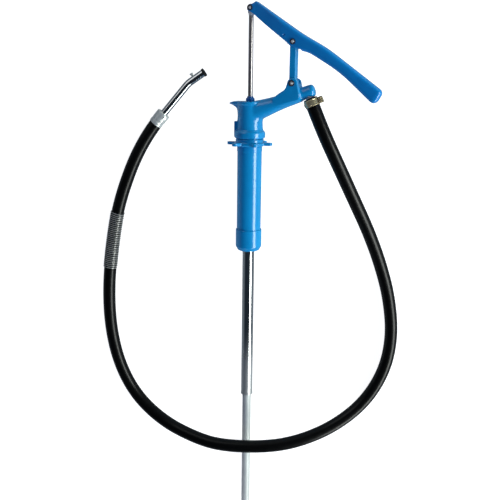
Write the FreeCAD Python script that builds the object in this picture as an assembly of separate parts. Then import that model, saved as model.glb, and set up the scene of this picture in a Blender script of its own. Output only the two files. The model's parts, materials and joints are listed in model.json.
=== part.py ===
import FreeCAD, Part
import math
import os

# Lever-operated drum barrel pump with its discharge hose and bent spout.
# Every piece of the pump is drawn upright in millimetres: Z along the pump axis, towards the lever,
# X towards the discharge arm, and Z = 0 on the underside of the lugged bung ring.
# It is then laid on its back as it rests on a flat surface: Y along the pump, Z up from the floor.

os.makedirs("parts", exist_ok=True)
V = FreeCAD.Vector

# --- driving dimensions, mm ---
BARREL_R = 25.0            # pump barrel, outside
BARREL_BORE = 22.5
BARREL_TOP = 24.0
BARREL_FOOT = -200.0
HEAD_FOOT = 13.5           # underside of the head casting
HEAD_TOP = 87.0
NECK_R = 25.0
BEAD_R = 31.3
CAP_R = 27.0               # foot cap, the widest piece that enters the drum
CAP_TOP = -174.5
CAP_FOOT = -220.5
SEAT_FOOT = -202.5         # valve seat, in the foot cap
SEAT_TOP = -194.0
CAGE_TOP = -172.4          # underside of the ball cage's lid
TUBE_SOCKET = -208.0       # where the suction tube ends in the foot cap
UPPER_TUBE_R = 12.5
UPPER_TUBE_BORE = 11.0
UPPER_TUBE_END = -552.0
LOWER_TUBE_R = 9.5
LOWER_TUBE_BORE = 8.1
LOWER_TUBE_END = -828.0
LOWER_TUBE_TOP = -530.0
BUSH_TOP = -541.0          # sliding bush at the foot of the upper tube
SEAL_TOP = -538.0
ROD_R = 4.75
STROKE = 145.0
FIT = 0.06                 # radial clearance of a running fit
GAP = 0.35                 # clearance between faces that pass each other

# pivots of the lever linkage, X and Z
PIVOT_ROD = (0.0, 264.0)
PIVOT_LEVER = (89.3, 201.0)
PIVOT_LINK = (90.3, 124.0)
PIN_R = 4.0
ROD_PIN_R = 3.5
CLIP_T = 1.8               # thickness of a push-on retaining clip
LEVER_HALF = 13.0          # half width of the lever at its pivot
LEVER_NOSE_HALF = 8.0      # half width of the lever at the rod
LEVER_WALL = 2.5
GRIP_ROUND = 7.5           # rounding along the lever's edges
LINK_HALF = 9.8            # half depth of the swing link
EAR_HALF = 17.0            # half width over the clevis ears
SLOT_HALF = LINK_HALF + GAP

# discharge arm and outlet
OUTLET_R = 12.5
DUCT_R = 8.5
OUTLET_RISE = 19.0         # degrees that the outlet stub rises
OUTLET = (118.4, 107.5)    # where the hose nipple leaves the stub's axis
STUB_END = 14.5            # stub length past the nipple's axis
NIPPLE_LEAN = 24.0         # degrees that the nipple leans out from the pump axis
NIPPLE_START = 13.5        # from the stub's axis to the hose end

# lugged bung ring
RING_R = 28.5
LUG_R = 46.7
LUG_T = 6.0
LUG_COUNT = 6
LUG_START = 5.0            # degrees from the arm to the first lug

# hose and nozzle
HOSE_R = 13.5
HOSE_BORE = 9.5
CLAMP_START = 16.0         # from the outlet's axis to the clamp's upper edge
CLAMP_WIDTH = 13.4
CLAMP_R = 14.4
CLAMP_EARS = (-4.6, 2.6)   # where the two ears start, across the clamp
CLAMP_SCREW_X = -19.0
CLAMP_SCREWS = (3.6, 9.8)  # how far down the clamp the screws are
SPRING_R = 15.6
SPRING_HALF = 62.0         # half length of the spring guard
FERRULE_R = 14.3
FERRULE_FACE = 7.0         # front face, past the hose end
FERRULE_SCREW = 0.5
SPOUT_R = 7.6
SPOUT_BORE = 6.2
SPOUT_LEG = 80.0           # ferrule face to the bend
SPOUT_TIP = 42.0           # bend to the mouth
SPOUT_BEND = 15.5          # degrees
SPOUT_BEND_R = 45.0

# how the pump lies: its lowest lug and the end of the suction tube touch the floor
ARM_RAISE = 14.0           # degrees that the arm is raised off the floor
LUG_LOW = 44.4             # depth of the lowest lug tip below the pump axis
TILT = math.degrees(math.atan((LUG_LOW - LOWER_TUBE_R) / -LOWER_TUBE_END))
AXIS_HEIGHT = LUG_LOW * math.cos(math.radians(TILT))
CENTRE = (-104.87, 275.99)  # moves the middle of the pump's footprint to the origin

# route of the hose on the floor, measured from the point under the bung ring: outlet, floor on the
# right, over the suction tube, floor on the left, ferrule
HOSE_ROUTE = [
    (120.2, 93.8, 78.3), (145.4, 35.1, 82.1), (179, -32, 74), (213, -100, 56), (249, -172, 35),
    (278.5, -243.5, 19), (301.5, -318, 13.7), (313, -402, 13.5), (302, -483, 13.5), (263.5, -557, 18),
    (201.5, -609, 35), (130, -639.5, 56), (55.5, -655.5, 68), (-49.5, -660, 68), (-115, -650, 55),
    (-189.5, -626.5, 33), (-254, -577, 17), (-293.5, -503.5, 13.5), (-312, -414, 14.2),
    (-313, -316, 15.5), (-300.5, -215, 16.4), (-282, -119.5, 15.8), (-231.4, 3.8, 14.5),
    (-188.8, 54.2, 14.5),
]
SPRING_CORNER = 20         # the route point at the middle of the spring guard


def lying_placement():
    """Lays the upright pump down, with its arm raised and its tube end on the floor."""
    stand = FreeCAD.Rotation(V(1, 0, 0), -90)
    roll = FreeCAD.Rotation(V(0, 1, 0), -ARM_RAISE)
    tilt = FreeCAD.Rotation(V(1, 0, 0), TILT)
    turn = tilt.multiply(roll.multiply(stand))
    return FreeCAD.Placement(V(CENTRE[0], CENTRE[1], AXIS_HEIGHT), turn)


LYING = lying_placement()


def write(name, shape):
    """Writes a piece that is already in the lying frame."""
    shape.exportStep("parts/" + name + ".step")
    box = shape.optimalBoundingBox(False)
    print("%-20s %2d solid %10.1f mm3  z %.2f" % (name, len(shape.Solids), shape.Volume, box.ZMin))
    return box


def export(name, shape):
    """Lays an upright piece down and writes it."""
    piece = shape.copy()
    piece.Placement = LYING.multiply(piece.Placement)
    return write(name, piece)


# --- shape helpers ---

def rounded_edges(points, radii, closed=False):
    """Straight runs joined by tangent arcs, where a radius of 0 leaves the corner sharp."""
    stops = []
    for i, corner in enumerate(points):
        if radii[i] == 0:
            stops.append((corner, None, corner))
            continue
        back = (points[i - 1] - corner).normalize()
        ahead = (points[(i + 1) % len(points)] - corner).normalize()
        half = back.getAngle(ahead) / 2
        reach = radii[i] / math.tan(half)
        middle = (back + ahead).normalize() * (radii[i] / math.sin(half) - radii[i])
        stops.append((corner + back * reach, corner + middle, corner + ahead * reach))
    edges = []
    for i, (start, middle, end) in enumerate(stops):
        if middle is not None:
            edges.append(Part.Arc(start, middle, end).toShape())
        if i + 1 < len(stops) or closed:
            following = stops[(i + 1) % len(stops)][0]
            if (following - end).Length > 1e-6:
                edges.append(Part.LineSegment(end, following).toShape())
    return edges


def outline(corners, place):
    """Closed face from corners given as (a, b) or (a, b, radius)."""
    points = [place(c[0], c[1]) for c in corners]
    radii = [c[2] if len(c) > 2 else 0 for c in corners]
    return Part.Face(Part.Wire(rounded_edges(points, radii, closed=True)))


def turned(corners):
    """Solid of revolution about the pump axis, from (radius, z) corners."""
    face = outline(corners, lambda r, z: V(r, 0, z))
    return face.revolve(V(0, 0, 0), V(0, 0, 1), 360)


def slab(corners, y0, y1):
    """Side outline in X and Z, extruded across the pump."""
    face = outline(corners, lambda x, z: V(x, y0, z))
    return face.extrude(V(0, y1 - y0, 0))


def cross_bar(radius, pivot, y0, y1):
    """Round bar across the pump at a pivot."""
    return Part.makeCylinder(radius, y1 - y0, V(pivot[0], y0, pivot[1]), V(0, 1, 0))


def disc(radius, z0, z1):
    return Part.makeCylinder(radius, z1 - z0, V(0, 0, z0))


def tube(outer, inner, z0, z1):
    return disc(outer, z0, z1).cut(disc(inner, z0, z1))


def hexagon(across_flats, z0, z1):
    corner = across_flats / math.sqrt(3)
    points = [V(corner * math.cos(math.radians(60 * k)), corner * math.sin(math.radians(60 * k)), z0)
              for k in range(7)]
    return Part.Face(Part.makePolygon(points)).extrude(V(0, 0, z1 - z0))


def around(shape, count, start=0.0):
    """Copies of a shape turned about the pump axis."""
    copies = []
    for k in range(count):
        copy = shape.copy()
        copy.rotate(V(0, 0, 0), V(0, 0, 1), start + 360.0 * k / count)
        copies.append(copy)
    return copies


def fuse(shapes):
    return shapes[0].multiFuse(shapes[1:]).removeSplitter()


def group(shapes):
    return Part.makeCompound(shapes)


# --- head casting ---

def direction(degrees_up):
    angle = math.radians(degrees_up)
    return V(math.cos(angle), 0, math.sin(angle))


NIPPLE_DIR = V(math.sin(math.radians(NIPPLE_LEAN)), 0, -math.cos(math.radians(NIPPLE_LEAN)))
OUTLET_POINT = V(OUTLET[0], 0, OUTLET[1])


def arm_section(x, z, slope, half_height, half_width, corner):
    """Rounded rectangular section of the arm, square to its slope."""
    up = V(-math.sin(math.radians(slope)), 0, math.cos(math.radians(slope)))
    corners = [(-half_width, -half_height), (half_width, -half_height), (half_width, half_height),
               (-half_width, half_height)]
    points = [V(x, 0, z) + V(0, across, 0) + up * rise for across, rise in corners]
    return Part.Wire(rounded_edges(points, [corner] * 4, closed=True))


def head_arm():
    """Hollow arm that carries the clevis and ends in the outlet stub."""
    sections = [
        arm_section(6, 67, 10, 20.0, 21.5, 18),
        arm_section(28, 73.8, 19, 18.0, 19.5, 15.5),
        arm_section(50, 81.7, 22.5, 15.3, 17.5, 14),
        arm_section(76, 91.4, 23, 13.7, EAR_HALF, 12.2),
        arm_section(103.5, 101.5, 21, 12.9, EAR_HALF, 11.5),
    ]
    arm = Part.makeLoft(sections, True, False)
    run = direction(OUTLET_RISE)
    start = OUTLET_POINT - run * 20.0
    stub = Part.makeCylinder(OUTLET_R, 20.0 + STUB_END, start, run)
    end_rim = [e for e in stub.Edges if len(e.Vertexes) == 1
               and (e.CenterOfMass - start).Length > 20.0]
    stub = stub.makeFillet(6.5, end_rim)
    return [arm, stub]


def clevis_ears():
    """Block that rises from the arm to the link's lower pivot."""
    x, z = PIVOT_LINK
    side = [(50, 93), (64, 104, 25), (77.5, 112.5, 13), (x - 9.2, z + 1, 0.5), (x - 9.2, z + 9.2, 9),
            (x + 9.0, z + 9.2, 8.9), (106.5, 102, 12), (105.5, 93, 3), (98, 91), (60, 80)]
    return slab(side, -EAR_HALF, EAR_HALF)


def top_plate():
    """Flat top of the head with the tongue that points away from the arm."""
    plate = disc(26.5, HEAD_TOP - 6, HEAD_TOP)
    tongue = outline([(-43, -9, 8), (-43, 9, 8), (0, 22), (0, -22)], lambda x, y: V(x, y, HEAD_TOP - 6))
    drooped = tongue.extrude(V(0, 0, 6)).cut(
        slab([(-50, HEAD_TOP - 4.6), (-43, HEAD_TOP - 3.4, 5), (-31, HEAD_TOP), (-50, HEAD_TOP + 1)], -25, 25))
    gusset = slab([(-20, 52), (-24.2, 52, 2), (-27, 74, 10), (-39, 80.5), (-20, 80.5)], -5, 5)
    return [plate, drooped, gusset]


def pump_head():
    neck = turned([(0, HEAD_FOOT), (BEAD_R, HEAD_FOOT, 4.5), (BEAD_R, 27.3, 5), (26.6, 30, 3),
                   (NECK_R, 58, 30), (NECK_R - 1, HEAD_TOP), (0, HEAD_TOP)])
    rib = Part.makeBox(12, 5, 31, V(20, -2.5, 17))
    rib.rotate(V(0, 0, 0), V(0, 0, 1), 207)
    body = fuse([neck, rib] + top_plate() + head_arm() + [clevis_ears()])
    duct_start = V(8, 0, 58)
    duct_run = OUTLET_POINT - duct_start
    x, z = PIVOT_LINK
    hollow = [
        disc(BARREL_R, HEAD_FOOT, BARREL_TOP + 1.5),
        turned([(0, BARREL_TOP), (21, BARREL_TOP), (21, 64, 4), (9, 71), (0, 71)]),
        disc(ROD_R + 0.5, 70, 77),
        disc(8.0, 76, HEAD_TOP),
        disc(10.5, HEAD_TOP, 100),
        Part.makeCylinder(DUCT_R, duct_run.Length, duct_start, duct_run),
        Part.makeSphere(DUCT_R, OUTLET_POINT),
        Part.makeCylinder(8.0, 20, OUTLET_POINT, NIPPLE_DIR),
        Part.makeBox(26, 2 * SLOT_HALF, 30, V(x - 15.5, -SLOT_HALF, z - 9.6)),
        cross_bar(PIN_R, PIVOT_LINK, -EAR_HALF - 1, EAR_HALF + 1),
    ]
    for tool in hollow:
        body = body.cut(tool)
    return body


def gland_nut():
    nut = hexagon(16.5, HEAD_TOP, 92.5)
    crown = disc(8.3, 92.5, 93.6)
    neck = turned([(0, 93), (6.6, 93), (6.6, 96.8, 1.2), (0, 96.8)])
    spigot = disc(7.9, 81, HEAD_TOP)
    nut = fuse([nut, crown, neck, spigot])
    return nut.cut(disc(ROD_R + 0.1, 80, 98))


def outlet_nipple():
    """Hose nipple with three barbs, screwed into the outlet stub."""
    profile = [(8.0, -9), (8.0, 0), (9.5, 0.5)]
    for k in range(3):
        foot = 8 + 8 * k
        profile += [(9.5, foot), (9.75, foot + 1), (9.5, foot + 4)]
    profile += [(9.5, 32), (8.6, 34), (6.8, 34), (6.8, -9)]
    nipple = turned(profile)
    nipple.Placement = FreeCAD.Placement(OUTLET_POINT + NIPPLE_DIR * NIPPLE_START,
                                         FreeCAD.Rotation(V(0, 0, 1), NIPPLE_DIR))
    return nipple


# --- barrel, foot and suction tubes ---

def barrel():
    wall = turned([(BARREL_BORE, BARREL_FOOT), (BARREL_R, BARREL_FOOT), (BARREL_R, -12.5), (25.6, -12),
                   (25.6, -2.6), (BARREL_R, -2.4), (BARREL_R, BARREL_TOP), (BARREL_BORE, BARREL_TOP)])
    return wall


def bung_ring():
    """Ring with six lugs that turns on the barrel under the head."""
    inner = BARREL_R + FIT
    body = turned([(inner, -2), (RING_R - 1.2, -2, 0.8), (RING_R, 0, 0.5), (RING_R, 12.9, 1.5), (inner, 12.9)])
    flange = tube(32.0, inner, 0.6, LUG_T - 0.6)
    lug = outline([(20, -9), (LUG_R, -5.4, 4.6), (LUG_R, 5.4, 4.6), (20, 9)], lambda x, y: V(x, y, 0))
    lug = lug.extrude(V(0, 0, LUG_T)).cut(disc(inner, -1, LUG_T + 1))
    return fuse([body, flange] + around(lug, LUG_COUNT, LUG_START))


def foot_cap():
    cap = turned([(0, CAP_TOP), (CAP_R, CAP_TOP, 1), (CAP_R, -211, 5), (22.5, -219.2, 2), (18, CAP_FOOT),
                  (0, CAP_FOOT)])
    hollow = turned([(0, CAP_TOP + 1), (BARREL_R + 0.02, CAP_TOP + 1), (BARREL_R + 0.02, SEAT_FOOT),
                     (8, SEAT_FOOT), (8, TUBE_SOCKET), (UPPER_TUBE_R + 0.02, TUBE_SOCKET), (UPPER_TUBE_R + 0.02, CAP_FOOT - 1),
                     (0, CAP_FOOT - 1)])
    return cap.cut(hollow)


def valve_seat():
    return turned([(6.4, SEAT_FOOT), (22.4, SEAT_FOOT), (22.4, SEAT_TOP), (7.6, SEAT_TOP), (6.4, SEAT_TOP - 2)])


def valve_cage():
    """Open cage that keeps the ball over its seat."""
    shell = tube(14.0, 10.2, SEAT_TOP, CAGE_TOP)
    flange = tube(22.3, 10.2, SEAT_TOP, SEAT_TOP + 3.2)
    top = tube(14.0, 4.0, CAGE_TOP, CAGE_TOP + 2.9)
    window = Part.makeBox(30, 9, 13, V(0, -4.5, SEAT_TOP + 6))
    return fuse([shell, flange, top]).cut(group(around(window, 3)))


def upper_suction_tube():
    lip = tube(UPPER_TUBE_R + 0.5, UPPER_TUBE_R - 0.2, UPPER_TUBE_END, UPPER_TUBE_END + 3)
    return fuse([tube(UPPER_TUBE_R, UPPER_TUBE_BORE, UPPER_TUBE_END, TUBE_SOCKET), lip])


def lower_suction_tube():
    return turned([(LOWER_TUBE_BORE, LOWER_TUBE_END), (LOWER_TUBE_R - 0.4, LOWER_TUBE_END),
                   (LOWER_TUBE_R, LOWER_TUBE_END + 0.4), (LOWER_TUBE_R, LOWER_TUBE_TOP), (LOWER_TUBE_BORE, LOWER_TUBE_TOP)])


# --- rod and piston ---

def rod_eye():
    """Flat eye screwed on the rod, inside the lever's nose."""
    half = LEVER_NOSE_HALF - LEVER_WALL - 0.45
    shank = turned([(0, 250), (5.4, 250, 1), (5.4, 258), (0, 258)])
    eye = cross_bar(7.4, PIVOT_ROD, -half, half)
    neck = Part.makeBox(10.8, 2 * half, 8, V(-5.4, -half, 254))
    shank = shank.common(Part.makeBox(12, 2 * half, 10, V(-6, -half, 249)))
    eye = fuse([shank, neck, eye])
    hole = cross_bar(ROD_PIN_R + FIT, PIVOT_ROD, -10, 10)
    return eye.cut(hole).cut(disc(ROD_R, 240, 256))


def piston_rod():
    return turned([(0, -14), (ROD_R - 0.5, -14), (ROD_R, -13.5), (ROD_R, 256), (0, 256)])


def drilled(shape, ring_radius, hole_radius, z0, z1):
    """Six ports through a disc."""
    port = Part.makeCylinder(hole_radius, z1 - z0, V(ring_radius, 0, z0))
    return shape.cut(group(around(port, 6)))


def piston_body():
    return drilled(tube(20.4, ROD_R, -3, 7), 12.5, 3.2, -4, 8)


def piston_cup():
    """Cup seal with its lip up, held under the piston body."""
    cup = turned([(ROD_R, -5.5), (20.6, -5.5, 1.5), (BARREL_BORE - FIT, -3), (BARREL_BORE - FIT, 9),
                  (21.4, 9), (20.5, 7), (20.5, -3), (ROD_R, -3)])
    return drilled(cup, 12.5, 3.2, -7, -2.5)


def piston_valve():
    """Flap disc that lifts off the piston's ports on the down stroke."""
    return tube(17.5, ROD_R + FIT, 7.05, 9.05)


def piston_retainer():
    return drilled(tube(17.5, ROD_R, -8, -5.5), 12.5, 3.2, -9, -5)


def valve_stop():
    return tube(10.0, ROD_R, 12.2, 14.7)


def piston_nut():
    return hexagon(14, -13.5, -8).cut(disc(ROD_R, -20, 0))


# --- lever, link and pins ---

def lever():
    """Forged lever: a channel from the rod to past the pivot, then a solid grip."""
    side = [(-6, 265.8), (12, 275.8), (105, 215.7, 300), (156, 188.6, 300), (265.3, 111, 9),
            (249.8, 84.5, 9), (181, 145.2, 300), (119, 181.5, 60), (100, 184.8, 14), (84, 189.6, 14),
            (4, 254.5), (-6, 260)]
    solid = slab(side, -LEVER_HALF, LEVER_HALF)
    long_edges = [e for e in solid.Edges if abs(e.CenterOfMass.y) > LEVER_HALF - 0.01
                  and e.BoundBox.XMax > 12.6]
    solid = solid.makeFillet(GRIP_ROUND, long_edges)
    nose, full = LEVER_NOSE_HALF, LEVER_HALF
    plan = outline([(-30, -nose), (12, -nose, 60), (66, -full, 60), (300, -full), (300, full), (66, full, 60),
                    (12, nose, 60), (-30, nose)], lambda x, y: V(x, y, 60))
    solid = solid.common(plan.extrude(V(0, 0, 240)))
    wall = LEVER_WALL
    inner = outline([(-30, wall - nose), (12, wall - nose, 60), (66, wall - full, 60), (106, wall - full, 3),
                     (106, full - wall, 3), (66, full - wall, 60), (12, nose - wall, 60),
                     (-30, nose - wall)], lambda x, y: V(x, y, 60))
    inner = inner.extrude(V(0, 0, 240))
    under_web = slab([(-30, 298.9), (106, 211.4, 4), (106, 150), (-30, 150)], -20, 20)
    solid = solid.cut(inner.common(under_web))
    holes = [
        cross_bar(PIN_R, PIVOT_LEVER, -20, 20),
        cross_bar(ROD_PIN_R, PIVOT_ROD, -20, 20),
        cross_bar(1.7, (71.5, 213.5), -20, 20),
    ]
    for hole in holes:
        solid = solid.cut(hole)
    return solid


def swing_link():
    bar = Part.makeBox(12, 2 * LINK_HALF, PIVOT_LEVER[1] - PIVOT_LINK[1],
                       V(PIVOT_LINK[0] - 7.5, -LINK_HALF, PIVOT_LINK[1]))
    top = cross_bar(8.2, PIVOT_LEVER, -LINK_HALF, LINK_HALF)
    foot = cross_bar(8.8, PIVOT_LINK, -LINK_HALF, LINK_HALF)
    link = fuse([bar, top, foot])
    for pivot in (PIVOT_LEVER, PIVOT_LINK):
        link = link.cut(cross_bar(5.5, pivot, -20, 20))
    return link


def bush(pivot):
    outer = cross_bar(5.5, pivot, -LINK_HALF, LINK_HALF)
    return outer.cut(cross_bar(PIN_R + FIT, pivot, -20, 20))


def clips(pivot, pin_radius, face, outer):
    """Push-on retaining clips on both ends of a pin."""
    pieces = []
    for y0 in (-face - CLIP_T, face):
        ring = cross_bar(outer, pivot, y0, y0 + CLIP_T)
        pieces.append(ring.cut(cross_bar(pin_radius, pivot, y0 - 1, y0 + CLIP_T + 1)))
    return group(pieces)


def rod_pins():
    """Trunnion studs in the lever's two cheeks, either side of the rod eye."""
    inner = LEVER_NOSE_HALF - LEVER_WALL
    outer = LEVER_NOSE_HALF + CLIP_T + 0.5
    return group([cross_bar(ROD_PIN_R, PIVOT_ROD, -outer, -inner), cross_bar(ROD_PIN_R, PIVOT_ROD, inner, outer)])


# --- hose and nozzle, drawn where they lie ---

def floor_point(x, y, z):
    return V(x + CENTRE[0], y + CENTRE[1], z)


ROUTE = [floor_point(*point) for point in HOSE_ROUTE]


def corner_radii(points):
    """The largest arc that each corner's two runs allow."""
    radii = [0.0]
    for before, corner, after in zip(points, points[1:], points[2:]):
        turn = (corner - before).getAngle(after - corner)
        shorter = min((corner - before).Length, (after - corner).Length)
        radii.append(0.45 * shorter / math.tan(turn / 2))
    return radii + [0.0]


def swept(path, outer, inner):
    """Tube of two radii along a path that starts with a straight run."""
    start = path.Edges[0].valueAt(path.Edges[0].FirstParameter)
    way = path.Edges[0].tangentAt(path.Edges[0].FirstParameter)
    solids = []
    for radius in (outer, inner):
        circle = Part.Wire(Part.makeCircle(radius, start, way))
        solids.append(path.makePipe(Part.Face(circle)))
    return solids[0].cut(solids[1])


def hose():
    radii = corner_radii(ROUTE)
    path = Part.Wire(rounded_edges(ROUTE, radii))
    print("hose path %.1f mm, radii %s" % (path.Length, [round(r) for r in radii[1:-1]]))
    body = swept(path, HOSE_R, HOSE_BORE)
    expected = math.pi * (HOSE_R ** 2 - HOSE_BORE ** 2) * path.Length
    print("hose volume ratio %.4f" % (body.Volume / expected))
    return body


def hose_spring():
    """Outer shape of the close-wound spring guard, round one bend of the hose."""
    corner = ROUTE[SPRING_CORNER]
    radius = corner_radii(ROUTE)[SPRING_CORNER]
    back = (ROUTE[SPRING_CORNER - 1] - corner).normalize()
    ahead = (ROUTE[SPRING_CORNER + 1] - corner).normalize()
    points = [corner + back * SPRING_HALF, corner, corner + ahead * SPRING_HALF]
    return swept(Part.Wire(rounded_edges(points, [0, radius, 0])), SPRING_R, HOSE_R)


def on_nipple(shape, distance):
    """Puts a shape drawn on the pump axis round the hose on its nipple, turned to the far side."""
    spin = FreeCAD.Rotation(V(0, 0, 1), NIPPLE_DIR)
    shape.Placement = FreeCAD.Placement(OUTLET_POINT + NIPPLE_DIR * distance, spin)
    return shape


def clamp_band():
    band = tube(CLAMP_R, HOSE_R, 0, CLAMP_WIDTH)
    beads = [tube(CLAMP_R + 0.5, HOSE_R, z, z + 1.6) for z in (0, CLAMP_WIDTH - 1.6)]
    ears = [Part.makeBox(9.9, 2.0, CLAMP_WIDTH - 1, V(-22.9, y, 0.5)) for y in CLAMP_EARS]
    fold = Part.makeBox(2.0, 4.4, 6.4, V(13.9, -2.2, 3.5))
    band = fuse([band, fold] + beads + ears)
    for level in CLAMP_SCREWS:
        band = band.cut(Part.makeCylinder(1.75, 30, V(CLAMP_SCREW_X, -15, level), V(0, 1, 0)))
    band = band.cut(disc(HOSE_R, -1, CLAMP_WIDTH + 1))
    return on_nipple(band, CLAMP_START)


def clamp_screws():
    screws = []
    for level in CLAMP_SCREWS:
        shank = Part.makeCylinder(1.7, 14.0, V(CLAMP_SCREW_X, -4.7, level), V(0, 1, 0))
        head = Part.makeCylinder(2.8, 2.4, V(CLAMP_SCREW_X, -7.0, level), V(0, 1, 0))
        slot = Part.makeBox(6.4, 1.0, 0.8, V(CLAMP_SCREW_X - 3.2, -7.2, level - 0.4))
        screws.append(shank.fuse(head).cut(slot))
    return on_nipple(group(screws), CLAMP_START)


def clamp_nuts():
    nuts = []
    for level in CLAMP_SCREWS:
        nut = Part.makeBox(5.0, 2.4, 5.0, V(CLAMP_SCREW_X - 2.5, 4.65, level - 2.5))
        nuts.append(nut.cut(Part.makeCylinder(1.7, 20, V(CLAMP_SCREW_X, -5, level), V(0, 1, 0))))
    return on_nipple(group(nuts), CLAMP_START)


NOZZLE_DIR = (ROUTE[-1] - ROUTE[-2]).normalize()
NOZZLE_TURN = FreeCAD.Rotation(V(0, 0, 1), NOZZLE_DIR)


def on_nozzle(shape):
    """Puts a shape drawn on the Z axis, Z = 0 at the hose end, on the nozzle's axis."""
    shape.Placement = FreeCAD.Placement(ROUTE[-1], NOZZLE_TURN)
    return shape


def nozzle_ferrule():
    """Crimped ferrule: an outer sleeve over the hose and a stem inside it."""
    profile = [(SPOUT_R, -24), (HOSE_BORE, -24), (HOSE_BORE, 0), (HOSE_R, 0), (HOSE_R, -22),
               (FERRULE_R - 0.6, -22), (FERRULE_R, -21), (FERRULE_R, -15), (FERRULE_R - 0.5, -14),
               (FERRULE_R - 0.5, -11), (FERRULE_R, -10), (FERRULE_R, FERRULE_FACE, 1.2),
               (SPOUT_R, FERRULE_FACE)]
    return on_nozzle(turned(profile).cut(side_hole(2.0)))


def side_hole(radius):
    """Round hole through the ferrule's sleeve, down to the hose."""
    hole = Part.makeCylinder(radius, 10, V(0, -FERRULE_R - 0.2, FERRULE_SCREW), V(0, 1, 0))
    return hole.cut(disc(HOSE_R, -20, 10))


def ferrule_screw():
    head = Part.makeCylinder(3.0, 2.0, V(0, -FERRULE_R - 2.0, FERRULE_SCREW), V(0, 1, 0))
    shank = side_hole(2.0)
    screw = head.fuse(shank)
    return on_nozzle(screw)


def spout_path():
    """Straight leg, one bend and the short tip, level with the floor."""
    start = ROUTE[-1] - NOZZLE_DIR * 24
    bend = ROUTE[-1] + NOZZLE_DIR * (FERRULE_FACE + SPOUT_LEG)
    tip_way = FreeCAD.Rotation(V(0, 0, 1), -SPOUT_BEND).multVec(NOZZLE_DIR)
    return [start, bend, bend + tip_way * SPOUT_TIP], tip_way


def nozzle_spout():
    points = spout_path()[0]
    return swept(Part.Wire(rounded_edges(points, [0, SPOUT_BEND_R, 0])), SPOUT_R, SPOUT_BORE)


def spout_tip_ring():
    points, way = spout_path()
    ring = tube(SPOUT_R + 1.0, SPOUT_R, -4.5, 0)
    ring.Placement = FreeCAD.Placement(points[2], FreeCAD.Rotation(V(0, 0, 1), way))
    return ring


def spout_hook():
    """Small stud on the outside of the bend, to hang the spout on the drum's rim."""
    points, way = spout_path()
    side = V(0, 0, 1).cross(way)
    foot = points[1] + way * 16 + side * (SPOUT_R - 0.6)
    stem = Part.makeCylinder(2.2, 5.0, foot, side)
    knob = Part.makeCylinder(3.4, 2.4, foot + side * 4.0, side)
    pipe = Part.makeCylinder(SPOUT_R, 30, points[1], way)
    return stem.fuse(knob).cut(pipe)


# --- write the pieces ---

PUMP = {
    "pump_head": pump_head(),
    "head_gasket": tube(BARREL_R, 21.0, BARREL_TOP, BARREL_TOP + 1.5),
    "barrel": barrel(),
    "bung_ring": bung_ring(),
    "foot_cap": foot_cap(),
    "foot_cap_seal": tube(BARREL_R, BARREL_BORE + 0.1, SEAT_FOOT, BARREL_FOOT),
    "valve_seat": valve_seat(),
    "valve_cage": valve_cage(),
    "valve_ball": Part.makeSphere(9.5, V(0, 0, -188.1)),
    "upper_suction_tube": upper_suction_tube(),
    "telescope_bush": tube(UPPER_TUBE_BORE, LOWER_TUBE_R + FIT, UPPER_TUBE_END + 1, BUSH_TOP),
    "telescope_seal": tube(UPPER_TUBE_BORE, LOWER_TUBE_R + FIT, BUSH_TOP, SEAL_TOP),
    "lower_suction_tube": lower_suction_tube(),
    "lower_tube_collar": tube(UPPER_TUBE_BORE - FIT, LOWER_TUBE_R, SEAL_TOP + 0.3, LOWER_TUBE_TOP),
    "gland_nut": gland_nut(),
    "gland_packing": tube(7.9, ROD_R + FIT, 77.5, 81),
    "gland_washer": tube(7.9, ROD_R + 0.3, 76, 77.5),
    "outlet_nipple": outlet_nipple(),
    "link_pin": cross_bar(PIN_R, PIVOT_LINK, -EAR_HALF - 2.6, EAR_HALF + 2.6),
    "link_pin_clips": clips(PIVOT_LINK, PIN_R, EAR_HALF, 5.9),
    "swing_link": swing_link(),
    "link_bushes": group([bush(PIVOT_LEVER), bush(PIVOT_LINK)]),
    "lever": lever(),
    "lever_pivot_pin": cross_bar(PIN_R, PIVOT_LEVER, -LEVER_HALF - 2.4, LEVER_HALF + 2.4),
    "lever_pivot_clips": clips(PIVOT_LEVER, PIN_R, LEVER_HALF, 5.3),
    "rod_pins": rod_pins(),
    "rod_pin_clips": clips(PIVOT_ROD, ROD_PIN_R, LEVER_NOSE_HALF, 5.4),
    "piston_rod": piston_rod(),
    "rod_eye": rod_eye(),
    "piston_body": piston_body(),
    "piston_cup": piston_cup(),
    "piston_valve": piston_valve(),
    "valve_stop": valve_stop(),
    "piston_retainer": piston_retainer(),
    "piston_nut": piston_nut(),
}

CORD = {
    "hose": hose(),
    "hose_spring": hose_spring(),
    "nozzle_ferrule": nozzle_ferrule(),
    "ferrule_screw": ferrule_screw(),
    "nozzle_spout": nozzle_spout(),
    "spout_hook": spout_hook(),
    "spout_tip_ring": spout_tip_ring(),
}

CLAMP = {
    "clamp_band": clamp_band(),
    "clamp_screws": clamp_screws(),
    "clamp_nuts": clamp_nuts(),
}

footprint = FreeCAD.BoundBox()
for name, shape in list(PUMP.items()) + list(CLAMP.items()):
    footprint.add(export(name, shape))
for name, shape in CORD.items():
    write(name, shape)
print("pump box X %.2f %.2f  Y %.2f %.2f  Z %.2f %.2f" % (
    footprint.XMin, footprint.XMax, footprint.YMin, footprint.YMax, footprint.ZMin, footprint.ZMax))
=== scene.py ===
import json
import math

import bmesh
import bpy
import numpy as np
from mathutils import Matrix, Vector

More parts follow.
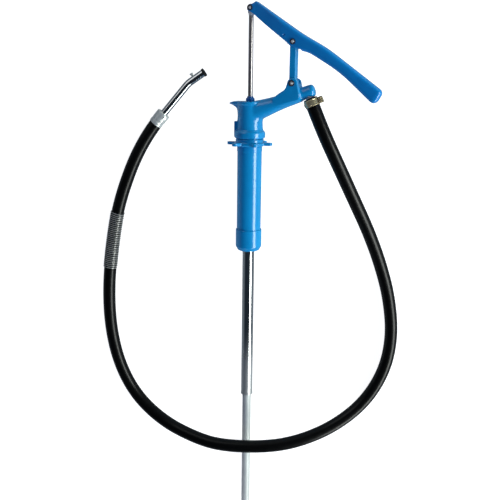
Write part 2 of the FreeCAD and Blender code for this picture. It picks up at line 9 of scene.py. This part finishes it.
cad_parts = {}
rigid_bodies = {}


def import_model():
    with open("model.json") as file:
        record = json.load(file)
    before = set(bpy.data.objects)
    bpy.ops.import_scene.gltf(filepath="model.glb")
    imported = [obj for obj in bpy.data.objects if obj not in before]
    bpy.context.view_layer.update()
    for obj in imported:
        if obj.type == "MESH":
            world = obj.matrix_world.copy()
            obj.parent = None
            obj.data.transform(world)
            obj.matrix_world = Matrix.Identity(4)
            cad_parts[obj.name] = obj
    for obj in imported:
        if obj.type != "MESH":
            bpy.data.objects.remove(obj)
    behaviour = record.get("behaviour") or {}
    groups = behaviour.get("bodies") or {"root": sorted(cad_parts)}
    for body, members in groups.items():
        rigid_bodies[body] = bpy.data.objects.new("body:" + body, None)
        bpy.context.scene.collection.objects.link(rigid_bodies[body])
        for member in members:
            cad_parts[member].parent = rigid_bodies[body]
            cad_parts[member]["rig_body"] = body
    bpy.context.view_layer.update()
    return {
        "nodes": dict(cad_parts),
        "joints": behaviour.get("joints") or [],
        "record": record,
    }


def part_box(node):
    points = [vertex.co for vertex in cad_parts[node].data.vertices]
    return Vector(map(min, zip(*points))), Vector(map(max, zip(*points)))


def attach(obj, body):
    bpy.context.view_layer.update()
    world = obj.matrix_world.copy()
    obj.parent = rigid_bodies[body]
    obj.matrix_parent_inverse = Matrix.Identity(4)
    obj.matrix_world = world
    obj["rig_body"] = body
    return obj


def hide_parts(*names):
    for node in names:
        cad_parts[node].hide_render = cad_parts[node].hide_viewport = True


# A lever drum barrel pump, laid on a pale studio floor with its hose looped over the suction tube.

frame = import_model()
MM = 0.001
MICRON = 0.000001

SLOTS = {part["node"]: part["material_slot"] for part in frame["record"]["subparts"]}

# --- the pump's own directions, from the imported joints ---

JOINTS = {joint["name"]: joint for joint in frame["joints"]}
PUMP_UP = Vector(JOINTS["ring_turn"]["axis"])            # along the pump, towards the rod's top
PUMP_BACK = -Vector(JOINTS["lever_turn"]["axis"])        # square to the lever, away from the viewer
PUMP_ARM = PUMP_BACK.cross(PUMP_UP)                      # towards the discharge arm
PUMP_ORIGIN = Vector(JOINTS["ring_turn"]["pos_m"])       # on the axis, under the bung ring

# --- the hose's route, as in the CAD: mm from the point under the bung ring, and up from the floor ---

HOSE_ROUTE = [
    (120.2, 93.8, 78.3), (145.4, 35.1, 82.1), (179, -32, 74), (213, -100, 56), (249, -172, 35),
    (278.5, -243.5, 19), (301.5, -318, 13.7), (313, -402, 13.5), (302, -483, 13.5), (263.5, -557, 18),
    (201.5, -609, 35), (130, -639.5, 56), (55.5, -655.5, 68), (-49.5, -660, 68), (-115, -650, 55),
    (-189.5, -626.5, 33), (-254, -577, 17), (-293.5, -503.5, 13.5), (-312, -414, 14.2),
    (-313, -316, 15.5), (-300.5, -215, 16.4), (-282, -119.5, 15.8), (-231.4, 3.8, 14.5),
    (-188.8, 54.2, 14.5),
]
HOSE_DIAMETER = 0.027


def pump_point(x, y, z):
    """A point of the upright pump, in mm, where it lies."""
    return PUMP_ORIGIN + (PUMP_ARM * x + PUMP_BACK * y + PUMP_UP * z) * MM


def floor_point(x, y, z):
    """A point of the hose's route where it lies."""
    return Vector((PUMP_ORIGIN.x + x * MM, PUMP_ORIGIN.y + y * MM, z * MM))


# --- objects ---

def add(name, data):
    piece = bpy.data.objects.new(name, data)
    bpy.context.scene.collection.objects.link(piece)
    return piece


def baked(source, name):
    """A new mesh object from an object with its modifiers applied."""
    graph = bpy.context.evaluated_depsgraph_get()
    mesh = bpy.data.meshes.new_from_object(source.evaluated_get(graph), depsgraph=graph)
    data = source.data
    bpy.data.objects.remove(source)
    if isinstance(data, bpy.types.Mesh):
        bpy.data.meshes.remove(data)
    mesh.name = name
    return add(name, mesh)


def merged_copy(node, name):
    """The CAD node's mesh as one closed skin."""
    mesh = frame["nodes"][node].data.copy()
    skin = bmesh.new()
    skin.from_mesh(mesh)
    bmesh.ops.remove_doubles(skin, verts=skin.verts, dist=2 * MICRON)
    skin.to_mesh(mesh)
    skin.free()
    return add(name, mesh)


def smooth_faces(piece):
    piece.data.polygons.foreach_set("use_smooth", [True] * len(piece.data.polygons))


def casting(node, voxel, rounds):
    """A copy of a CAD node that stands in for it, with its edges softened as a mould leaves them.

    The voxel is in mm, and each round of smoothing rounds the edges a little more.
    """
    piece = merged_copy(node, node + "_cast")
    remesh = piece.modifiers.new("skin", "REMESH")
    remesh.mode = "VOXEL"
    remesh.voxel_size = voxel * MM
    soften = piece.modifiers.new("soften", "SMOOTH")
    soften.factor = 0.5
    soften.iterations = rounds
    piece = baked(piece, node + "_cast")
    smooth_faces(piece)
    stand_in(piece, node)
    return piece


def stand_in(piece, node):
    """The piece takes its node's place and body, and the node is hidden."""
    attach(piece, frame["nodes"][node]["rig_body"])
    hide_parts(node)


# --- materials ---

class Shader:
    """A principled material and short ways to add nodes to it."""

    def __init__(self, name, **settings):
        self.material = bpy.data.materials.new(name)
        self.material.use_nodes = True
        self.tree = self.material.node_tree
        self.bsdf = self.tree.nodes["Principled BSDF"]
        for socket, value in settings.items():
            self.bsdf.inputs[socket.replace("_", " ")].default_value = value

    def node(self, kind, **settings):
        made = self.tree.nodes.new(kind)
        for key, value in settings.items():
            setattr(made, key, value)
        return made

    def link(self, source, target):
        self.tree.links.new(source, target)

    def place(self, scale=(1, 1, 1)):
        """Object coordinates in metres, stretched by scale."""
        coordinates = self.node("ShaderNodeTexCoord")
        mapping = self.node("ShaderNodeMapping")
        mapping.inputs["Scale"].default_value = scale
        self.link(coordinates.outputs["Object"], mapping.inputs["Vector"])
        return mapping.outputs["Vector"]

    def noise(self, scale, detail=3.0, roughness=0.5, stretch=(1, 1, 1)):
        texture = self.node("ShaderNodeTexNoise")
        texture.inputs["Scale"].default_value = scale
        texture.inputs["Detail"].default_value = detail
        texture.inputs["Roughness"].default_value = roughness
        self.link(self.place(stretch), texture.inputs["Vector"])
        return texture.outputs["Fac"]

    def ramp(self, value, stops):
        """Maps a value on a ramp between two stops, each a position and its colour."""
        ramp = self.node("ShaderNodeValToRGB")
        for element, (position, colour) in zip(ramp.color_ramp.elements, stops):
            element.position = position
            element.color = (*colour, 1)
        self.link(value, ramp.inputs["Fac"])
        return ramp.outputs["Color"]

    def spread(self, value, low, high):
        """Maps a 0 to 1 value on a range."""
        spread = self.node("ShaderNodeMapRange")
        spread.inputs["To Min"].default_value = low
        spread.inputs["To Max"].default_value = high
        self.link(value, spread.inputs["Value"])
        return spread.outputs["Result"]

    def mix(self, amount, first, second):
        """Mixes the second colour over the first by an amount."""
        mix = self.node("ShaderNodeMix", data_type="RGBA")
        self.link(amount, mix.inputs["Factor"])
        for name, colour in (("A", first), ("B", second)):
            socket = next(s for s in mix.inputs if s.name == name and s.type == "RGBA")
            socket.default_value = (*colour, 1)
        return next(s for s in mix.outputs if s.type == "RGBA")

    def bump(self, value, depth, before=None):
        """Bumps of a depth in metres, laid over those before."""
        bump = self.node("ShaderNodeBump")
        bump.inputs["Distance"].default_value = depth
        self.link(value, bump.inputs["Height"])
        if before is not None:
            self.link(before, bump.inputs["Normal"])
        return bump.outputs["Normal"]

    def set(self, socket, value):
        self.link(value, self.bsdf.inputs[socket])


COLOUR_DRIFT = 26          # the scales of the enamel's noise, coarse to fine
SHEEN_DRIFT = 90
ORANGE_PEEL = 130
SAND = 420


def enamel(name, deep, bright):
    """Thick glossy enamel: slight orange peel over a fine sand, and a faint drift of colour."""
    paint = Shader(name, IOR=1.5, Coat_Weight=0.5, Coat_Roughness=0.12)
    paint.set("Base Color", paint.ramp(paint.noise(COLOUR_DRIFT, detail=4), [(0.3, deep), (0.7, bright)]))
    paint.set("Roughness", paint.spread(paint.noise(SHEEN_DRIFT), low=0.20, high=0.28))
    sand = paint.bump(paint.noise(SAND, detail=2), depth=40 * MICRON)
    peel = paint.bump(paint.noise(ORANGE_PEEL, detail=2), depth=90 * MICRON, before=sand)
    paint.set("Normal", peel)
    return paint.material


def shade(colour, share):
    return tuple(channel * share for channel in colour)


ALONG_PUMP = (1.0, 0.05, 1.0)      # stretches noise into streaks along the pump
ALONG_SPOUT = (0.3, 0.3, 1.0)      # and along the floor, as the spout lies
PLATE_DRIFT = 35                   # the scales of the noise on plated steel
SCUFFS = 60


def plated(name, colour, low, high, streaks, metallic=1.0):
    """Bright plated steel with fine lengthways scuffs."""
    metal = Shader(name, Metallic=metallic)
    scuffs = metal.noise(SCUFFS, detail=5, roughness=0.6, stretch=streaks)
    stops = [(0.25, shade(colour, 0.86)), (0.75, colour)]
    metal.set("Base Color", metal.ramp(metal.noise(PLATE_DRIFT, detail=4), stops))
    metal.set("Roughness", metal.spread(scuffs, low, high))
    metal.set("Normal", metal.bump(scuffs, depth=30 * MICRON))
    return metal.material


RUBBED_FULL = 0.08         # shares of the upper tube from its lower end: dull up to here,
RUBBED_NONE = 0.5          # and bright from here
RUBBED_ROUGHNESS = 0.24    # added where it is dull
RUBBED_PATCHES = 45        # the scale of the noise that breaks the dull stretch up


def rubbed_tube(name, colour):
    """Bright plated tube that is rubbed dull towards its lower end, with fine lengthways scuffs."""
    metal = Shader(name)
    scuffs = metal.noise(SCUFFS, detail=5, roughness=0.6, stretch=ALONG_PUMP)
    position = metal.node("ShaderNodeTexCoord")
    split = metal.node("ShaderNodeSeparateXYZ")
    metal.link(position.outputs["Object"], split.inputs["Vector"])
    low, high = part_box("upper_suction_tube")
    fade = metal.node("ShaderNodeMapRange", interpolation_type="SMOOTHERSTEP")
    metal.link(split.outputs["Y"], fade.inputs["Value"])
    fade.inputs["From Min"].default_value = low.y + (high.y - low.y) * RUBBED_FULL
    fade.inputs["From Max"].default_value = low.y + (high.y - low.y) * RUBBED_NONE
    fade.inputs["To Min"].default_value = 1.0
    fade.inputs["To Max"].default_value = 0.0
    patches = metal.noise(RUBBED_PATCHES, detail=5, roughness=0.6, stretch=(1.0, 0.5, 1.0))
    patchy = metal.node("ShaderNodeMath", operation="MULTIPLY")
    metal.link(fade.outputs["Result"], patchy.inputs[0])
    metal.link(metal.spread(patches, low=0.5, high=1.2), patchy.inputs[1])
    dull = patchy.outputs[0]
    metal.set("Base Color", metal.mix(dull, colour, shade(colour, 0.85)))
    metal.set("Metallic", metal.spread(dull, low=1.0, high=0.8))
    rough = metal.node("ShaderNodeMath", operation="MULTIPLY_ADD")
    metal.link(dull, rough.inputs[0])
    rough.inputs[1].default_value = RUBBED_ROUGHNESS
    metal.link(metal.spread(scuffs, low=0.08, high=0.20), rough.inputs[2])
    metal.set("Roughness", rough.outputs[0])
    metal.set("Normal", metal.bump(scuffs, depth=40 * MICRON))
    return metal.material


def rubber(name, grey, low, high, depth):
    """Dark rubber with a fine grain."""
    cover = Shader(name, IOR=1.45, Specular_IOR_Level=0.34)
    stops = [(0.3, (grey * 0.7,) * 3), (0.8, (grey * 1.3,) * 3)]
    cover.set("Base Color", cover.ramp(cover.noise(40, detail=4), stops))
    cover.set("Roughness", cover.spread(cover.noise(140, detail=4), low, high))
    cover.set("Normal", cover.bump(cover.noise(900), depth))
    return cover.material


def plain_metal(name, colour, low, high, grain, metallic=1.0):
    """Turned or pressed metal with an even grain, and a roughness from low to high."""
    metal = Shader(name, Metallic=metallic)
    stops = [(0.3, shade(colour, 0.8)), (0.7, colour)]
    metal.set("Base Color", metal.ramp(metal.noise(80), stops))
    metal.set("Roughness", metal.spread(metal.noise(300, detail=4), low, high))
    metal.set("Normal", metal.bump(metal.noise(grain), depth=30 * MICRON))
    return metal.material


def packing_fibre():
    """Woven cord of the gland's packing."""
    cord = Shader("gland_fibre", Roughness=0.9)
    weave = cord.node("ShaderNodeTexWave")
    weave.inputs["Scale"].default_value = 300
    cord.link(cord.place(), weave.inputs["Vector"])
    stops = [(0.2, (0.3, 0.26, 0.18)), (0.8, (0.6, 0.55, 0.4))]
    cord.set("Base Color", cord.ramp(weave.outputs["Fac"], stops))
    cord.set("Normal", cord.bump(weave.outputs["Fac"], depth=200 * MICRON))
    return cord.material


MATERIALS = {
    "blue_enamel": enamel("blue_enamel", (0.002, 0.235, 0.55), (0.003, 0.266, 0.61)),
    # the lever's slot is blue_enamel too, and it is drawn deeper: a darker copy of the same paint, as
    # painted shade on the lever
    "lever_enamel_painted_shade": enamel("lever_enamel_painted_shade", (0.002, 0.170, 0.49), (0.003, 0.198, 0.55)),
    "gland_blue": enamel("gland_blue", (0.003, 0.07, 0.26), (0.004, 0.11, 0.36)),
    "bright_zinc": rubbed_tube("bright_zinc", (0.80, 0.82, 0.83)),
    "satin_zinc": plated("satin_zinc", (0.58, 0.61, 0.60), 0.45, 0.60, ALONG_PUMP, 0.3),
    "chrome_rod": plain_metal("chrome_rod", (0.52, 0.48, 0.48), 0.28, 0.34, 60, 0.92),
    "chrome_spout": plated("chrome_spout", (0.68, 0.70, 0.71), 0.06, 0.14, ALONG_SPOUT),
    "zinc_fitting": plain_metal("zinc_fitting", (0.74, 0.77, 0.75), 0.26, 0.38, 300, 0.55),
    "yellow_zinc": plain_metal("yellow_zinc", (0.68, 0.58, 0.36), 0.18, 0.30, 400, 0.75),
    "black_clip": plain_metal("black_clip", (0.014, 0.014, 0.017), 0.34, 0.5, 400, 0.0),
    "steel_pin": plain_metal("steel_pin", (0.80, 0.80, 0.81), 0.16, 0.26, 500, 0.45),
    "bronze_bush": plain_metal("bronze_bush", (0.55, 0.36, 0.16), 0.3, 0.45, 600),
    "piston_alloy": plain_metal("piston_alloy", (0.68, 0.68, 0.70), 0.25, 0.4, 400),
    "ball_steel": plain_metal("ball_steel", (0.78, 0.78, 0.78), 0.06, 0.12, 200),
    "hose_rubber": rubber("hose_rubber", 0.0015, 0.24, 0.36, 30 * MICRON),
    "spring_steel": plain_metal("spring_steel", (0.42, 0.42, 0.41), 0.24, 0.36, 800, 0.6),
    "black_rubber": rubber("black_rubber", 0.006, 0.5, 0.7, 50 * MICRON),
    "seal_rubber": rubber("seal_rubber", 0.02, 0.5, 0.7, 50 * MICRON),
    "packing": packing_fibre(),
}


def dress(piece, finish):
    piece.data.materials.clear()
    piece.data.materials.append(MATERIALS[finish])


for node, part in frame["nodes"].items():
    for material_slot in part.material_slots:
        material_slot.material = MATERIALS[SLOTS[node]]


# --- camera ---

CAMERA_LEVEL = 147.0       # mm up the pump that the camera stands at
CAMERA_DISTANCE = 1.393    # metres from the pump's axis
CAMERA_ASIDE = 0.0034      # puts the pump's axis a little left of the middle
CAMERA_SIDE = 20.0         # degrees round the pump, towards the arm
CAMERA_PITCH = 14.8        # degrees that it looks down the pump
CAMERA_ROLL = 0.74         # degrees
FOCAL_LENGTH = 48.96
SENSOR_WIDTH = 36.0


def add_camera():
    side = math.radians(CAMERA_SIDE)
    pitch = math.radians(CAMERA_PITCH)
    level = PUMP_BACK * math.cos(side) - PUMP_ARM * math.sin(side)
    forward = level * math.cos(pitch) - PUMP_UP * math.sin(pitch)
    right = level.cross(PUMP_UP)
    up = right.cross(forward)
    roll = Matrix.Rotation(math.radians(CAMERA_ROLL), 3, "Z")
    turn = Matrix((right, up, -forward)).transposed() @ roll
    data = bpy.data.cameras.new("camera")
    data.lens = FOCAL_LENGTH
    data.sensor_width = SENSOR_WIDTH
    camera = add("camera", data)
    place = PUMP_ORIGIN + PUMP_UP * CAMERA_LEVEL * MM - level * CAMERA_DISTANCE + right * CAMERA_ASIDE
    camera.matrix_world = Matrix.Translation(place) @ turn.to_4x4()
    bpy.context.scene.camera = camera


add_camera()


# --- hose and its spring guard ---

def hose_curve():
    """The hose's route as a smooth curve."""
    data = bpy.data.curves.new("hose_line", "CURVE")
    data.dimensions = "3D"
    spline = data.splines.new("NURBS")
    points = [floor_point(*point) for point in HOSE_ROUTE]
    spline.points.add(len(points) - 1)
    for target, point in zip(spline.points, points):
        target.co = (*point, 1)
    spline.order_u = 3
    spline.use_endpoint_u = True
    spline.resolution_u = 24
    data.use_fill_caps = True
    return data


def centre_line():
    """Points along the hose's own line, as the curve is drawn."""
    line = add("hose_centre", hose_curve())
    graph = bpy.context.evaluated_depsgraph_get()
    mesh = bpy.data.meshes.new_from_object(line.evaluated_get(graph), depsgraph=graph)
    points = [vertex.co.copy() for vertex in mesh.vertices]
    bpy.data.objects.remove(line)
    bpy.data.meshes.remove(mesh)
    return points


def measured(points):
    """Distance along a line at each of its points."""
    reach = [0.0]
    for first, second in zip(points, points[1:]):
        reach.append(reach[-1] + (second - first).length)
    return reach


def at_distance(points, reach, distance):
    """Point and direction at a distance along a line."""
    index = int(np.searchsorted(reach, distance)) - 1
    index = max(0, min(index, len(points) - 2))
    span = reach[index + 1] - reach[index]
    share = (distance - reach[index]) / span
    ahead = (points[index + 1] - points[index]).normalized()
    return points[index].lerp(points[index + 1], share), ahead


SPRING_TURNS = 30
SPRING_STEPS = 20          # points in each turn
SPRING_WIRE = 0.00095      # the wire's radius
SPRING_LEAN = 0.985        # about the cosine of the CAD sleeve's angle to y, as it lies
SPRING_CORNER = 0.002      # about what its slanted ends' corners add to its box, at each end


def spring_wire(points, reach):
    """The guard's helix, wound round the hose where the CAD's sleeve is."""
    low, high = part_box("hose_spring")
    middle = (low + high) / 2
    nearest = min(range(len(points)), key=lambda k: (points[k] - middle).length)
    half = (high.y - low.y) / 2 / SPRING_LEAN - SPRING_CORNER
    start = reach[nearest] - half
    radius = HOSE_DIAMETER / 2 + SPRING_WIRE
    data = bpy.data.curves.new("spring_line", "CURVE")
    data.dimensions = "3D"
    spline = data.splines.new("POLY")
    count = SPRING_TURNS * SPRING_STEPS
    spline.points.add(count)
    for k in range(count + 1):
        distance = start + 2 * half * k / count
        centre, ahead = at_distance(points, reach, distance)
        side = ahead.cross(Vector((0, 0, 1))).normalized()
        over = side.cross(ahead)
        angle = 2 * math.pi * k / SPRING_STEPS
        spot = centre + (side * math.cos(angle) + over * math.sin(angle)) * radius
        spline.points[k].co = (*spot, 1)
    data.bevel_depth = SPRING_WIRE
    data.bevel_resolution = 3
    data.use_fill_caps = True
    spring = baked(add("spring_guard", data), "spring_guard")
    smooth_faces(spring)
    stand_in(spring, "hose_spring")
    dress(spring, "spring_steel")
    return spring


def build_hose():
    points = centre_line()
    reach = measured(points)
    spring = spring_wire(points, reach)
    data = hose_curve()
    data.bevel_depth = HOSE_DIAMETER / 2
    data.bevel_resolution = 10
    hose = add("discharge_hose", data)
    data.materials.append(MATERIALS["hose_rubber"])
    stand_in(hose, "hose")


# --- castings, pins and clips ---

NORMALS_EVERY = 8          # rounds of filling before the outward directions are read again
FILL_STEP = 0.9            # shares of the way to the neighbours' middle that a round moves a vertex
SOFTEN_STEP = 0.5


class Skin:
    """A mesh's vertices and edges as arrays, for smoothing in steps."""

    def __init__(self, piece):
        self.mesh = piece.data
        self.count = len(self.mesh.vertices)
        self.spots = np.empty(self.count * 3)
        self.mesh.vertices.foreach_get("co", self.spots)
        self.spots = self.spots.reshape(-1, 3)
        ends = np.empty(len(self.mesh.edges) * 2, dtype=np.int64)
        self.mesh.edges.foreach_get("vertices", ends)
        first, second = ends.reshape(-1, 2).T
        self.source = np.concatenate([first, second])
        self.target = np.concatenate([second, first])
        self.neighbours = np.bincount(self.source, minlength=self.count)

    def pull(self):
        """Step from each vertex to the middle of its neighbours."""
        middle = np.stack([np.bincount(self.source, self.spots[self.target, axis], self.count)
                           for axis in range(3)], axis=1)
        return middle / self.neighbours[:, None] - self.spots

    def write(self):
        """Puts the vertices back in the mesh."""
        self.mesh.vertices.foreach_set("co", self.spots.ravel())
        self.mesh.update()

    def normals(self):
        self.write()
        normals = np.empty(self.count * 3)
        self.mesh.vertex_normals.foreach_get("vector", normals)
        return normals.reshape(-1, 3)

    def weights(self, places):
        """1 near the middle of each place (point, reach), falling to 0 at its reach."""
        weight = np.zeros(self.count)
        for point, reach in places:
            distance = np.linalg.norm(self.spots - np.array(point), axis=1) / (reach * MM)
            weight = np.maximum(weight, np.clip(2.0 * (1.0 - distance), 0.0, 1.0))
        return weight

    def fill(self, places, rounds):
        """Fills the inside corners near the places, as a mould's fillets do, and leaves the rest."""
        weight = self.weights(places)
        for step in range(rounds):
            if step % NORMALS_EVERY == 0:
                normals = self.normals()
            outward = np.sum(self.pull() * normals, axis=1)
            self.spots += normals * (np.maximum(outward, 0.0) * weight * FILL_STEP)[:, None]

    def soften(self, weight, rounds):
        """Rounds the skin over, by each vertex's weight."""
        for _ in range(rounds):
            self.spots += self.pull() * (weight * SOFTEN_STEP)[:, None]


HEAD_FILLETS = [           # where the casting has fillets, and how far each reaches in mm
    (pump_point(31, 0, 57), 34), (pump_point(24, 0, 88), 16), (pump_point(-26, 0, 72), 15),
    (pump_point(107, 0, 100), 24), (pump_point(72, 0, 100), 24),
]
HEAD_FILL_ROUNDS = 150
HEAD_SOFTEN_ROUNDS = 4
GRIP_START = 112.0         # mm from the pump's axis, where the lever turns into its grip
GRIP_FULL = 170.0          # and where it is all grip
GRIP_ROUNDS = 45


def build_head():
    """The head has wide fillets inside its corners, and all its edges are rounded."""
    head = casting("pump_head", voxel=0.9, rounds=3)
    skin = Skin(head)
    skin.fill(HEAD_FILLETS, HEAD_FILL_ROUNDS)
    skin.soften(np.ones(skin.count), HEAD_SOFTEN_ROUNDS)
    skin.write()
    dress(head, "blue_enamel")


def build_lever():
    """The lever's channel has crisp edges, and its grip is rounded over."""
    lever = casting("lever", voxel=0.9, rounds=3)
    skin = Skin(lever)
    outward = (skin.spots - np.array(PUMP_ORIGIN)) @ np.array(PUMP_ARM) / MM
    grip = np.clip((outward - GRIP_START) / (GRIP_FULL - GRIP_START), 0.0, 1.0)
    skin.soften(grip, GRIP_ROUNDS)
    skin.write()
    # the lever wears the deeper copy of the blue enamel, as painted shade
    dress(lever, "lever_enamel_painted_shade")


PIN_TIP = 0.6              # the radius of a pin's end, as a share of the pin's
PIN_TIP_DEPTH = 1.0        # mm of each end with that radius; the next mm widens to the whole pin


def dome_ends(pin):
    """Draws the pin's two ends in, so that a dark ring shows between each and its clip."""
    skin = Skin(pin)
    axis = np.array(PUMP_BACK)
    offset = skin.spots - skin.spots.mean(axis=0)
    along = offset @ axis
    radial = offset - along[:, None] * axis
    depth = (np.abs(along).max() - np.abs(along)) / MM
    share = PIN_TIP + (1 - PIN_TIP) * np.clip(depth - PIN_TIP_DEPTH, 0.0, 1.0)
    skin.spots -= radial * (1 - share)[:, None]
    skin.write()


PINS = ["link_pin", "lever_pivot_pin", "rod_pins"]
CLIPS = ["link_pin_clips", "lever_pivot_clips", "rod_pin_clips"]
SOFTENED = {               # the voxel in mm and the rounds of smoothing
    "swing_link": (0.8, 4), "bung_ring": (0.7, 4), "foot_cap": (0.8, 3), "gland_nut": (0.4, 3),
    "clamp_band": (0.4, 2), **{pin: (0.4, 14) for pin in PINS}, **{clip: (0.3, 3) for clip in CLIPS},
    "clamp_screws": (0.3, 2), "clamp_nuts": (0.3, 2),
}

build_head()
build_lever()
casts = {}
for node, (voxel, rounds) in SOFTENED.items():
    casts[node] = casting(node, voxel, rounds)
    dress(casts[node], SLOTS[node])
for pin in PINS:
    dome_ends(casts[pin])

build_hose()


# --- studio ---

FLOOR_REACH = 40.0         # metres each way
FLOOR_GLOW = 0.94          # its own light, which makes it white
FLOOR_DARK = (0.44, 0.44, 0.44)
FLOOR_PALE = (0.46, 0.46, 0.46)
WORLD_LOW = (0.17, 0.20, 0.23)           # what polished metal mirrors at the horizon
WORLD_HIGH = (0.012, 0.018, 0.026)       # and overhead, from WORLD_RISE upwards
WORLD_RISE = 0.6                         # as the sine of the angle above the horizon


def add_floor():
    """White floor that polished metal doesn't mirror, as if dark cards stood round the object."""
    mesh = bpy.data.meshes.new("floor")
    reach = FLOOR_REACH
    corners = [(-reach, -reach, 0), (reach, -reach, 0), (reach, reach, 0), (-reach, reach, 0)]
    mesh.from_pydata(corners, [], [(0, 1, 2, 3)])
    floor = add("floor", mesh)
    floor.visible_glossy = False
    paper = Shader("floor_paper", Roughness=0.9, Specular_IOR_Level=0.1,
                   Emission_Color=(1, 1, 1, 1), Emission_Strength=FLOOR_GLOW)
    stops = [(0.3, FLOOR_DARK), (0.7, FLOOR_PALE)]
    paper.set("Base Color", paper.ramp(paper.noise(2, detail=2), stops))
    mesh.materials.append(paper.material)


def add_light(name, place, target, size, power, colour=(1, 1, 1), shows=True):
    """Rectangular light, its length along the pump; one that doesn't show leaves no reflection."""
    data = bpy.data.lights.new(name, "AREA")
    data.shape = "RECTANGLE"
    data.size, data.size_y = size
    data.energy = power
    data.color = colour
    light = add(name, data)
    light.visible_glossy = shows
    back = (Vector(place) - Vector(target)).normalized()
    across = Vector((0, 1, 0)).cross(back).normalized()
    turn = Matrix((back.cross(across), -across, back)).transposed()
    light.matrix_world = Matrix.Translation(place) @ turn.to_4x4()


def add_world():
    """White to look at; in reflections, grey round the floor and nearly black overhead."""
    world = bpy.data.worlds.new("studio")
    bpy.context.scene.world = world
    world.use_nodes = True
    tree = world.node_tree
    background = tree.nodes["Background"]
    coordinates = tree.nodes.new("ShaderNodeTexCoord")
    split = tree.nodes.new("ShaderNodeSeparateXYZ")
    tree.links.new(coordinates.outputs["Generated"], split.inputs["Vector"])
    ramp = tree.nodes.new("ShaderNodeValToRGB")
    elements = ramp.color_ramp.elements
    elements[0].position = 0.0
    elements[0].color = (*WORLD_LOW, 1)
    elements[1].position = WORLD_RISE
    elements[1].color = (*WORLD_HIGH, 1)
    tree.links.new(split.outputs["Z"], ramp.inputs["Fac"])
    tree.links.new(ramp.outputs["Color"], background.inputs["Color"])
    backdrop = tree.nodes.new("ShaderNodeBackground")
    backdrop.inputs["Color"].default_value = (1, 1, 1, 1)
    ray = tree.nodes.new("ShaderNodeLightPath")
    seen = tree.nodes.new("ShaderNodeMixShader")
    tree.links.new(ray.outputs["Is Camera Ray"], seen.inputs["Fac"])
    tree.links.new(background.outputs["Background"], seen.inputs[1])
    tree.links.new(backdrop.outputs["Background"], seen.inputs[2])
    tree.links.new(seen.outputs["Shader"], tree.nodes["World Output"].inputs["Surface"])


add_floor()
add_world()
add_light("strip_right", (1.62, -1.0, 1.06), (0, -1.0, 0), (3.6, 0.75), 74, colour=(0.95, 1.0, 0.96))
add_light("strip_left", (-1.0, 1.35, 1.0), (0, 0.3, 0), (1.2, 0.7), 3.2)
add_light("overhead", (0.3, -0.5, 2.6), (0, -0.1, 0), (3.5, 3.5), 17,
          colour=(0.18, 0.32, 1.0), shows=False)
add_light("fill_foot", (-0.7, -1.5, 0.5), (0, -0.5, 0.02), (1.0, 0.6), 6, shows=False)
add_light("fill_head", (1.4, 1.7, 0.45), (0.05, 0.3, 0.05), (1.2, 0.8), 24,
          colour=(0.75, 1.0, 0.85), shows=False)
bpy.context.scene.view_settings.view_transform = "Standard"
